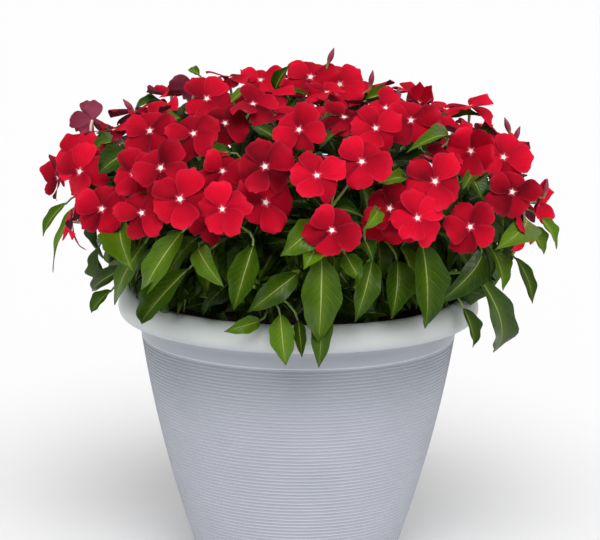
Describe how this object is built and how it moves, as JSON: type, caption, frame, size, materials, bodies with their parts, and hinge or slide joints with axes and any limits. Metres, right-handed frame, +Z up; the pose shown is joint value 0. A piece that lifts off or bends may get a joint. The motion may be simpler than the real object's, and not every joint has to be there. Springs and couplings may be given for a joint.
{
  "type": "potted madagascar periwinkle",
  "caption": "Mounded Madagascar periwinkle with flat crimson blooms and white eyes over glossy green leaves, in a round tapered patio pot with a rolled rim and fine ribs.",
  "frame": {"origin": "centre of the pot's flat underside, where it stands on a surface", "axes": "+Z up along the pot's axis, -Y towards the side that shows best, +X to the right seen from there"},
  "size_m": [0.4349, 0.3916, 0.4362],
  "materials": {
    "pot": "satin moulded grey",
    "potting_mix": "dark crumbly mix",
    "leaf": "glossy green leaf",
    "petal": "velvety crimson petal"
  },
  "bodies": {
    "root": {"pot": "pot", "potting_mix": "potting_mix", "leafy_stem_01": "leaf", "leafy_stem_02": "leaf", "leafy_stem_03": "leaf", "leafy_stem_04": "leaf", "leafy_stem_05": "leaf", "leafy_stem_06": "leaf", "leafy_stem_07": "leaf", "leafy_stem_08": "leaf", "leafy_stem_09": "leaf", "leafy_stem_10": "leaf", "leafy_stem_11": "leaf", "leafy_stem_12": "leaf", "leafy_stem_13": "leaf", "leafy_stem_14": "leaf", "leafy_stem_15": "leaf", "leafy_stem_16": "leaf", "blooms_01": "petal", "blooms_02": "petal", "blooms_03": "petal", "blooms_04": "petal", "blooms_05": "petal", "blooms_06": "petal", "blooms_07": "petal", "blooms_08": "petal", "blooms_09": "petal", "blooms_10": "petal", "blooms_11": "petal", "blooms_12": "petal", "blooms_13": "petal", "blooms_14": "petal", "blooms_15": "petal", "blooms_16": "petal", "blooms_17": "petal", "blooms_18": "petal", "blooms_19": "petal", "blooms_20": "petal", "blooms_21": "petal", "blooms_22": "petal", "blooms_23": "petal", "blooms_24": "petal", "blooms_25": "petal", "blooms_26": "petal", "blooms_27": "petal", "blooms_28": "petal", "blooms_29": "petal", "blooms_30": "petal", "blooms_31": "petal", "blooms_32": "petal", "blooms_33": "petal", "blooms_34": "petal", "blooms_35": "petal", "blooms_36": "petal", "blooms_37": "petal", "blooms_38": "petal", "blooms_39": "petal", "blooms_40": "petal", "blooms_41": "petal", "blooms_42": "petal"}
  },
  "joints": []
}
